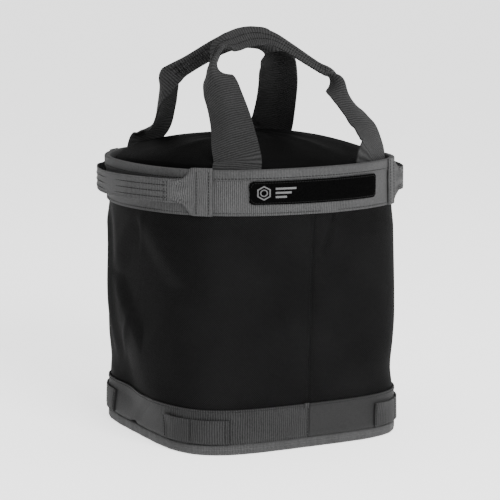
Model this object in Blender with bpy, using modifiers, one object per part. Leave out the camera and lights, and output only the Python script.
"""A round-mouthed tool bucket in coated nylon and webbing, standing on its base.

The frame's origin is the centre of the base, on the surface that the bucket stands on.
+Z is up, the front with the hook-and-loop strip faces -Y, and azimuths are in degrees
from the front towards +X.
"""

import math

import bpy
from mathutils import Vector

# Driving dimensions, in metres
WEBBING = 0.0508  # two-inch webbing: the rim band, the handles and the base band
HEIGHT = 0.305
BASE_HALF, BASE_POWER = 0.1395, 4.2  # half side and roundness of the squarish base
RIM_HALF, RIM_POWER = 0.158, 2.11  # the mouth, which is nearly a circle
GAP = 0.0005  # clearance between sewn layers
FABRIC = 0.0015
STRAP = 0.0018
PIPING_RADIUS = 0.004
BASE_BAND_TOP = 0.0485
AZIMUTH_STEP = 5
SEAM = 0.2  # degrees that keep the two halves of the wall and of the base band apart
SEAM_TAPE = 0.001
BOARD_THICKNESS = 0.003

# Layers at the rim, as distances outside the outer face of the webbing
BAND_INNER = -STRAP
PANEL_INNER = BAND_INNER - GAP - FABRIC
BINDING_CLOTH = 0.0008
BINDING_DEPTH = 0.0115
TAB_OUT = PANEL_INNER - GAP - BINDING_CLOTH - 0.0055  # a flat tab's middle, clear at its edges

# Carry handles
FOOT_AZIMUTH, TAB_REACH = 32, 16  # degrees from the front or back, and the room kept for a tab
FOOT_Y = 0.127
HANDLE_LEAN = math.radians(41)
HINGE_RISE = 0.014  # up the leaning handle, from the rim to its hinge line
GRIP_WIDTH, GRIP_THICKNESS = WEBBING / 2, 0.0042
STRAP_CLEARANCE, TAB_CLEARANCE = 0.001, 0.0032  # from the hinge line
FOLD_START, FOLD_LENGTH = 0.070, 0.040  # where the strap folds to its grip, up the handle
LEVEL_LENGTH = 0.025  # the stretch over which a strap leaves its level hinge line
TAB_START, TAB_RISE = 0.004, 0.003  # above the rim band's lower edge, and above the rim

# Side handles
ANCHOR_START, ANCHOR_END, FLARE_END = 40.5, 47.5, 57
GRIP_OFFSET = 0.0084  # middle of the folded grip, outside the band
GRIP_SPLIT = 0.5  # degrees of clearance at each end of the grip
SIDE_GRIP_HALF = 0.0135
SIDE_GRIP_Z = HEIGHT - WEBBING / 2

# Drawn cover: a fixed ring and gores that fold down into the bucket
GORES = 8
GORE_APOTHEM = 0.127
COVER_HINGE_Z = 0.3105
COVER_CROWN = 0.020
COVER_HOLE = 0.016
COVER_CLOTH = 0.0012
GORE_GAP = 0.001
RING_OUTER, RING_BY_TAB, RING_OUTER_Z = 0.1518, 0.1452, 0.3035
RING_GAP = 0.0012
RING_STEPS = 48

# Inner pockets, base loops and front strip
POCKET_TOP, POCKET_REACH, POCKET_DEPTH = 0.165, 32, 0.016
POCKET_INSET = 0.003
LOOP_HEIGHT, LOOP_Z, LOOP_REACH, LOOP_BULGE = 0.0254, 0.026, 12.5, 0.0018
PATCH_LENGTH, PATCH_HEIGHT, PATCH_CENTRE, PATCH_Z = 0.152, 0.0254, 1.5, 0.2795
PATCH_THICKNESS, PATCH_CORNER = 0.0012, 0.005


def clear_scene():
    for obj in list(bpy.data.objects):
        bpy.data.objects.remove(obj, do_unlink=True)


def new_collection(name):
    collection = bpy.data.collections.new(name)
    bpy.context.scene.collection.children.link(collection)
    return collection


def material(name, colour, roughness):
    made = bpy.data.materials.new(name)
    made.use_nodes = True
    shader = made.node_tree.nodes["Principled BSDF"]
    shader.inputs["Base Color"].default_value = (*colour, 1)
    shader.inputs["Roughness"].default_value = roughness
    shader.inputs["Metallic"].default_value = 0
    return made


clear_scene()
bucket = new_collection("tool_bucket")

NYLON = material("black_nylon", (0.008, 0.008, 0.009), 0.75)
GREY_WEBBING = material("grey_webbing", (0.045, 0.045, 0.047), 0.8)
BINDING = material("grey_binding", (0.05, 0.05, 0.052), 0.8)
COVER_FABRIC = material("cover_fabric", (0.006, 0.006, 0.007), 0.6)
PILE = material("loop_pile", (0.004, 0.004, 0.004), 0.95)
BOARD = material("base_board", (0.02, 0.02, 0.02), 0.5)
LINING = material("pocket_lining", (0.03, 0.03, 0.032), 0.7)


# Shapes shared by the parts


def outline_radius(azimuth, half, power):
    across = abs(math.sin(math.radians(azimuth))) ** power
    along = abs(math.cos(math.radians(azimuth))) ** power
    return half / (across + along) ** (1 / power)


def wall_point(azimuth, z, out):
    """A point of the wall at this azimuth and height, moved out of its outer face."""
    share = z / HEIGHT
    base = outline_radius(azimuth, BASE_HALF, BASE_POWER)
    rim = outline_radius(azimuth, RIM_HALF, RIM_POWER)
    radius = (1 - share) * base + share * rim + out
    angle = math.radians(azimuth)
    return Vector((radius * math.sin(angle), -radius * math.cos(angle), z))


def spread(first, last, count):
    """count + 1 values from first to last."""
    return [first + (last - first) * i / count for i in range(count + 1)]


def add_object(name, mesh, finish):
    mesh.materials.append(finish)
    obj = bpy.data.objects.new(name, mesh)
    bucket.objects.link(obj)
    return obj


def mesh_from(name, points, faces):
    mesh = bpy.data.meshes.new(name)
    mesh.from_pydata(points, [], faces)
    mesh.shade_smooth()
    mesh.set_sharp_from_angle(angle=math.radians(40))
    return mesh


def grid_faces(rows, columns, wrap=False):
    """Quads of a grid whose rows rise and whose columns run towards higher azimuths."""
    ring = columns if wrap else columns - 1
    return [
        (
            row * columns + column,
            row * columns + (column + 1) % columns,
            (row + 1) * columns + (column + 1) % columns,
            (row + 1) * columns + column,
        )
        for row in range(rows - 1)
        for column in range(ring)
    ]


def add_sheet(name, rows, thickness, finish, side=1, wrap=False):
    """A surface through rows of points, thickened by Solidify: side 1 is outwards, 0 is both ways."""
    mesh = bpy.data.meshes.new(name)
    points = [point for row in rows for point in row]
    mesh.from_pydata(points, [], grid_faces(len(rows), len(rows[0]), wrap))
    obj = add_object(name, mesh, finish)
    solid = obj.modifiers.new("cloth", "SOLIDIFY")
    solid.thickness = thickness
    solid.offset = side
    solid.use_even_offset = True
    return obj


def wall_rows(azimuths, heights, out):
    return [[wall_point(azimuth, z, out) for azimuth in azimuths] for z in heights]


def add_wall(name, azimuths, heights, out, thickness, finish, wrap=False):
    return add_sheet(name, wall_rows(azimuths, heights, out), thickness, finish, wrap=wrap)


def add_ring(name, profile, finish):
    """A closed section of (out, z) points carried round the whole wall."""
    azimuths = range(0, 360, AZIMUTH_STEP)
    points = [wall_point(azimuth, z, out) for azimuth in azimuths for out, z in profile]
    size, turns = len(profile), len(azimuths)
    faces = []
    for turn in range(turns):
        here, there = turn * size, (turn + 1) % turns * size
        for i in range(size):
            j = (i + 1) % size
            faces.append((here + i, there + i, there + j, here + j))
    return add_object(name, mesh_from(name, points, faces), finish)


def add_strap(name, stations, finish):
    """A loft through flat sections, each (centre, half width vector, half thickness vector)."""
    forward = stations[1][0] - stations[0][0]
    if forward.dot(stations[0][1].cross(stations[0][2])) < 0:
        stations = [(centre, -wide, thick) for centre, wide, thick in stations]
    points = []
    for centre, wide, thick in stations:
        inner, outer = centre - thick, centre + thick
        points += [inner - wide, inner + wide, outer + wide, outer - wide]
    faces = [(3, 2, 1, 0)]
    for i in range(len(stations) - 1):
        near, far = 4 * i, 4 * (i + 1)
        for j in range(4):
            k = (j + 1) % 4
            faces.append((near + j, near + k, far + k, far + j))
    last = 4 * (len(stations) - 1)
    faces.append((last, last + 1, last + 2, last + 3))
    return add_object(name, mesh_from(name, points, faces), finish)


def move_origin(obj, point):
    """Puts the object's origin on its joint's axis without moving its shape."""
    for vertex in obj.data.vertices:
        vertex.co -= point
    obj.location = point


# The bucket's body


def add_body():
    heights = spread(2 * PIPING_RADIUS + GAP, HEIGHT, 4)
    left = list(range(-180, 1, AZIMUTH_STEP))
    right = list(range(0, 181, AZIMUTH_STEP))
    left[0], left[-1] = left[0] + SEAM, left[-1] - SEAM
    right[0], right[-1] = right[0] + SEAM, right[-1] - SEAM
    add_wall("left_body_panel", left, heights, PANEL_INNER, FABRIC, NYLON)
    add_wall("right_body_panel", right, heights, PANEL_INNER, FABRIC, NYLON)
    for name, middle in (("front_seam_tape", 0), ("back_seam_tape", 180)):
        azimuths = (middle - AZIMUTH_STEP, middle, middle + AZIMUTH_STEP)
        tape_heights = spread(2 * PIPING_RADIUS + GAP, HEIGHT - BINDING_DEPTH - GAP, 4)
        out = PANEL_INNER - GAP - SEAM_TAPE
        add_wall(name, azimuths, tape_heights, out, SEAM_TAPE, BINDING)


def add_rim():
    turn = range(0, 360, AZIMUTH_STEP)
    add_wall("rim_band", turn, (HEIGHT - WEBBING, HEIGHT), BAND_INNER, STRAP, GREY_WEBBING, wrap=True)
    outer, inner = GAP, PANEL_INNER - GAP
    low, top = HEIGHT - BINDING_DEPTH, HEIGHT + GAP
    profile = [
        (outer, low),
        (outer + BINDING_CLOTH, low),
        (outer + BINDING_CLOTH, top),
        (outer, top + BINDING_CLOTH),
        (inner, top + BINDING_CLOTH),
        (inner - BINDING_CLOTH, top),
        (inner - BINDING_CLOTH, low),
        (inner, low),
        (inner, top),
        (outer, top),
    ]
    add_ring("rim_binding", profile, BINDING)


def add_base():
    low = 2 * PIPING_RADIUS + GAP
    halves = (("left_base_band", -180, 0), ("right_base_band", 0, 180))
    for name, first, last in halves:
        azimuths = list(range(first, last + 1, AZIMUTH_STEP))
        azimuths[0] += SEAM
        azimuths[-1] -= SEAM
        add_wall(name, azimuths, (low, BASE_BAND_TOP), BAND_INNER, STRAP, GREY_WEBBING)
    turns = [math.tau * i / 8 + math.pi / 8 for i in range(8)]
    flat = PIPING_RADIUS / math.cos(math.pi / 8)
    profile = [
        (-PIPING_RADIUS + flat * math.cos(turn), PIPING_RADIUS + flat * math.sin(turn)) for turn in turns
    ]
    add_ring("base_piping", profile, BINDING)
    add_plate("base_panel", -2 * PIPING_RADIUS - GAP, 0, FABRIC, NYLON)
    add_plate("base_board", -2 * PIPING_RADIUS - 3 * GAP, FABRIC + GAP, BOARD_THICKNESS, BOARD)


def add_plate(name, out, bottom, thickness, finish):
    """A flat plate of the base's outline."""
    curve = bpy.data.curves.new(name, "CURVE")
    curve.dimensions = "2D"
    curve.fill_mode = "BOTH"
    curve.extrude = thickness / 2
    outline = curve.splines.new("POLY")
    azimuths = range(0, 360, AZIMUTH_STEP)
    outline.points.add(len(azimuths) - 1)
    for point, azimuth in zip(outline.points, azimuths):
        x, y, _ = wall_point(azimuth, 0, out)
        point.co = (x, y, 0, 1)
    outline.use_cyclic_u = True
    plate = add_object(name, curve, finish)
    plate.location.z = bottom + thickness / 2


def add_pockets():
    """Four inner pockets, sewn to the wall at both sides and open at the top."""
    azimuths = spread(-POCKET_REACH, POCKET_REACH, 8)
    rows = []
    for z in spread(2 * PIPING_RADIUS, POCKET_TOP, 3):
        row = []
        for azimuth in azimuths:
            bulge = POCKET_DEPTH * math.cos(math.pi / 2 * azimuth / POCKET_REACH) ** 2
            row.append(wall_point(azimuth, z, PANEL_INNER - POCKET_INSET - bulge))
        rows.append(row)
    first = add_sheet("front_pocket", rows, FABRIC, LINING, side=0)
    for name, turn in (("right_pocket", 90), ("back_pocket", 180), ("left_pocket", 270)):
        pocket = first.copy()
        pocket.name = name
        pocket.rotation_euler.z = math.radians(turn)
        bucket.objects.link(pocket)


def add_corner_loops():
    """A webbing strip at each corner of the base band, sewn down at its middle and both ends."""
    azimuths = spread(45 - LOOP_REACH, 45 + LOOP_REACH, 12)
    rows = []
    for z in (LOOP_Z - LOOP_HEIGHT / 2, LOOP_Z + LOOP_HEIGHT / 2):
        row = []
        for azimuth in azimuths:
            bulge = LOOP_BULGE * abs(math.sin(math.pi * (azimuth - 45) / LOOP_REACH))
            row.append(wall_point(azimuth, z, 2 * GAP + bulge))
        rows.append(row)
    first = add_sheet("front_right_loop", rows, STRAP, GREY_WEBBING)
    for name, turn in (("back_right_loop", 90), ("back_left_loop", 180), ("front_left_loop", 270)):
        loop = first.copy()
        loop.name = name
        loop.rotation_euler.z = math.radians(turn)
        bucket.objects.link(loop)


def add_patch():
    """The loop-pile strip on the front of the rim band, with rounded corners."""
    reach = math.degrees(PATCH_LENGTH / 2 / RIM_HALF)
    edge = math.degrees(PATCH_CORNER / RIM_HALF)
    inner = spread(-reach + edge, reach - edge, 12)
    steps = (-reach, -reach + 0.3 * edge, *inner, reach - 0.3 * edge, reach)
    rows = []
    for side in (-1, 1):
        row = []
        for azimuth in steps:
            into = min(reach - abs(azimuth), edge) / edge
            half = PATCH_HEIGHT / 2 - PATCH_CORNER * (1 - math.sqrt(1 - (1 - into) ** 2))
            row.append(wall_point(PATCH_CENTRE + azimuth, PATCH_Z + side * half, 2 * GAP))
        rows.append(row)
    add_sheet("front_patch", rows, PATCH_THICKNESS, PILE)


# Side handles


def side_station(azimuth, side):
    """A section of a side handle: flat anchors, then a folded grip that stands off the band."""
    from_middle = abs(azimuth - 90)
    rise = (90 - ANCHOR_END - from_middle) / (FLARE_END - ANCHOR_END)
    share = min(max(rise, 0), 1)
    share = share * share * (3 - 2 * share)
    anchor_out = BINDING_CLOTH + 2 * GAP + STRAP / 2
    out = anchor_out + share * (GRIP_OFFSET - anchor_out)
    wide = (1 - share) * (WEBBING / 2 - GAP) + share * SIDE_GRIP_HALF
    thick = (1 - share) * STRAP / 2 + share * GRIP_THICKNESS / 2
    centre = wall_point(azimuth, SIDE_GRIP_Z, out)
    normal = Vector((centre.x, centre.y, 0)).normalized()
    centre.x *= side
    normal.x *= side
    return centre, Vector((0, 0, wide)), normal * thick


def add_side_handles():
    first, last = FLARE_END + GRIP_SPLIT, 180 - FLARE_END - GRIP_SPLIT
    ends = (
        ("front", ANCHOR_START, FLARE_END - GRIP_SPLIT),
        ("back", 180 - ANCHOR_START, 180 - FLARE_END + GRIP_SPLIT),
    )
    hinge_x = wall_point(FLARE_END, SIDE_GRIP_Z, GRIP_OFFSET).x
    for name, side in (("left", -1), ("right", 1)):
        for end, start, stop in ends:
            stations = [side_station(azimuth, side) for azimuth in spread(start, stop, 6)]
            add_strap(f"{name}_anchor_{end}", stations, GREY_WEBBING)
        grip = [side_station(azimuth, side) for azimuth in spread(first, last, 12)]
        obj = add_strap(f"{name}_side_handle", grip, GREY_WEBBING)
        move_origin(obj, Vector((side * hinge_x, 0, SIDE_GRIP_Z)))


# Carry handles. A path's points are (across, up the leaning handle), in metres.
FRONT_PATH = (
    (-0.0795, 0.0), (-0.0755, 0.030), (-0.070, 0.060), (-0.0675, 0.085), (-0.0655, 0.108),
    (-0.063, 0.128), (-0.055, 0.145), (-0.041, 0.159), (-0.020, 0.168), (0.001, 0.171),
    (0.020, 0.165), (0.0375, 0.151), (0.055, 0.134), (0.069, 0.118), (0.0765, 0.100),
    (0.0815, 0.073), (0.087, 0.043), (0.086, 0.020), (0.0795, 0.0),
)
BACK_PATH = (
    (-0.0795, 0.0), (-0.074, 0.010), (-0.068, 0.022), (-0.0635, 0.042), (-0.066, 0.064),
    (-0.071, 0.085), (-0.074, 0.102), (-0.068, 0.119), (-0.051, 0.134), (-0.030, 0.150),
    (-0.010, 0.161), (0.012, 0.165), (0.033, 0.159), (0.049, 0.146), (0.060, 0.128),
    (0.068, 0.107), (0.0745, 0.082), (0.0825, 0.052), (0.087, 0.026), (0.0795, 0.0),
)


def curve_through(points, pieces):
    """Catmull-Rom points through a path."""
    ends = [2 * points[0] - points[1], *points, 2 * points[-1] - points[-2]]
    found = []
    for i in range(1, len(ends) - 2):
        a, b, c, d = ends[i - 1 : i + 3]
        for k in range(pieces):
            t = k / pieces
            square, cube = 2 * a - 5 * b + 4 * c - d, 3 * b - a - 3 * c + d
            found.append((2 * b + (c - a) * t + square * t**2 + cube * t**3) / 2)
    return [*found, points[-1]]


def handle_point(across, up, front):
    """front is -1 for the front handle and 1 for the back one."""
    y = front * (FOOT_Y - up * math.sin(HANDLE_LEAN))
    return Vector((across, y, HEIGHT + up * math.cos(HANDLE_LEAN)))


def add_carry_handle(name, path, front):
    """The arch above its hinge line, and the two sewn-in tabs below it."""
    upward = Vector((0, -front * math.sin(HANDLE_LEAN), math.cos(HANDLE_LEAN)))
    normal = Vector((0, front * math.cos(HANDLE_LEAN), math.sin(HANDLE_LEAN)))
    start = HINGE_RISE + STRAP_CLEARANCE
    points = curve_through([Vector(point) for point in path], 2)
    above = [i for i, point in enumerate(points) if point.y > start + TAB_START]
    stations = []
    for i in above:
        along = (points[i + 1] - points[i - 1]).normalized()
        across = Vector((along.y, -along.x))
        fold = min(max((points[i].y - FOLD_START) / FOLD_LENGTH, 0), 1)
        half = (1 - fold) * WEBBING / 2 + fold * GRIP_WIDTH / 2
        thick = (1 - fold) * STRAP / 2 + fold * GRIP_THICKNESS / 2
        level = max(0, 1 - (points[i].y - start) / LEVEL_LENGTH)
        turned = across.lerp(Vector((math.copysign(1, across.x), 0)), level).normalized()
        wide = Vector((turned.x, 0, 0)) + turned.y * upward
        centre = handle_point(points[i].x, points[i].y, front)
        stations.append((centre, wide * half, normal * thick))
    feet = []
    for i, x_way in ((above[0], 1), (above[-1], -1)):
        centre = handle_point(points[i - x_way].x, start, front)
        feet.append((centre, Vector((x_way * WEBBING / 2, 0, 0)), normal * STRAP / 2))
    stations[0] = (stations[0][0], feet[0][1].lerp(stations[0][1], 0.5), stations[0][2])
    arch = add_strap(name, [feet[0], *stations, feet[1]], GREY_WEBBING)
    move_origin(arch, handle_point(0, HINGE_RISE, front))
    add_tab(name + "_tab_left", points[above[0] - 1].x, -1, front, normal)
    add_tab(name + "_tab_right", points[above[-1] + 1].x, 1, front, normal)


def add_tab(name, top_x, side, front, normal):
    """The end of a handle, sewn inside the rim, that rises to just below the hinge line."""
    azimuth = side * FOOT_AZIMUTH if front < 0 else 180 - side * FOOT_AZIMUTH
    low, high = HEIGHT - WEBBING + TAB_START, HEIGHT - 2 * GAP
    tangent = (wall_point(azimuth + 1, low, 0) - wall_point(azimuth - 1, low, 0)).normalized()
    outward = Vector((tangent.y, -tangent.x, 0))
    wide = tangent * (WEBBING / 2)
    stations = []
    for z in (low, high):
        stations.append((wall_point(azimuth, z, TAB_OUT), wide, outward * STRAP / 2))
    top = handle_point(top_x, HINGE_RISE - TAB_CLEARANCE, front)
    level = Vector((math.copysign(WEBBING / 2, tangent.x), 0, 0))
    if normal.dot(outward) < 0:
        normal = -normal
    foot = stations[-1][0].lerp(top, 0.25)
    foot.z = HEIGHT + TAB_RISE
    stations.append((foot, wide.lerp(level, 0.1), outward * STRAP / 2))
    stations.append((top, level, normal * STRAP / 2))
    add_strap(name, stations, GREY_WEBBING)


# The cover


def add_cover():
    half_turn = math.pi / GORES
    ring_inner = GORE_APOTHEM + RING_GAP
    outer, inner = [], []
    for i in range(RING_STEPS):
        angle = math.tau * i / RING_STEPS
        from_middle = (angle + half_turn) % (2 * half_turn) - half_turn
        turn = angle + half_turn
        way = Vector((math.sin(turn), -math.cos(turn), 0))
        from_front = math.degrees(math.acos(min(abs(way.y), 1)))
        by_tab = abs(from_front - FOOT_AZIMUTH) < TAB_REACH
        reach = RING_BY_TAB if by_tab else RING_OUTER
        outer.append(way * reach + Vector((0, 0, RING_OUTER_Z)))
        inner.append(way * ring_inner / math.cos(from_middle) + Vector((0, 0, COVER_HINGE_Z)))
    add_sheet("cover_ring", (outer, inner), COVER_CLOTH, COVER_FABRIC, side=0, wrap=True)
    rows = []
    for s in spread(GORE_GAP, GORE_APOTHEM - COVER_HOLE, 6):
        left = GORE_APOTHEM - s
        half = left * math.tan(half_turn) - GORE_GAP
        rise = COVER_CROWN * (1 - (left / GORE_APOTHEM) ** 2)
        rows.append([Vector((half * k, s, rise)) for k in (-1, 0, 1)])
    first = add_sheet("cover_gore_1", rows, COVER_CLOTH, COVER_FABRIC, side=0)
    for k in range(GORES):
        gore = first if k == 0 else first.copy()
        gore.name = f"cover_gore_{k + 1}"
        angle = (2 * k + 1) * half_turn
        x, y = GORE_APOTHEM * math.sin(angle), -GORE_APOTHEM * math.cos(angle)
        gore.location = (x, y, COVER_HINGE_Z)
        gore.rotation_euler.z = angle
        if k:
            bucket.objects.link(gore)


add_body()
add_rim()
add_base()
add_pockets()
add_corner_loops()
add_patch()
add_side_handles()
add_carry_handle("front_handle", FRONT_PATH, -1)
add_carry_handle("back_handle", BACK_PATH, 1)
add_cover()
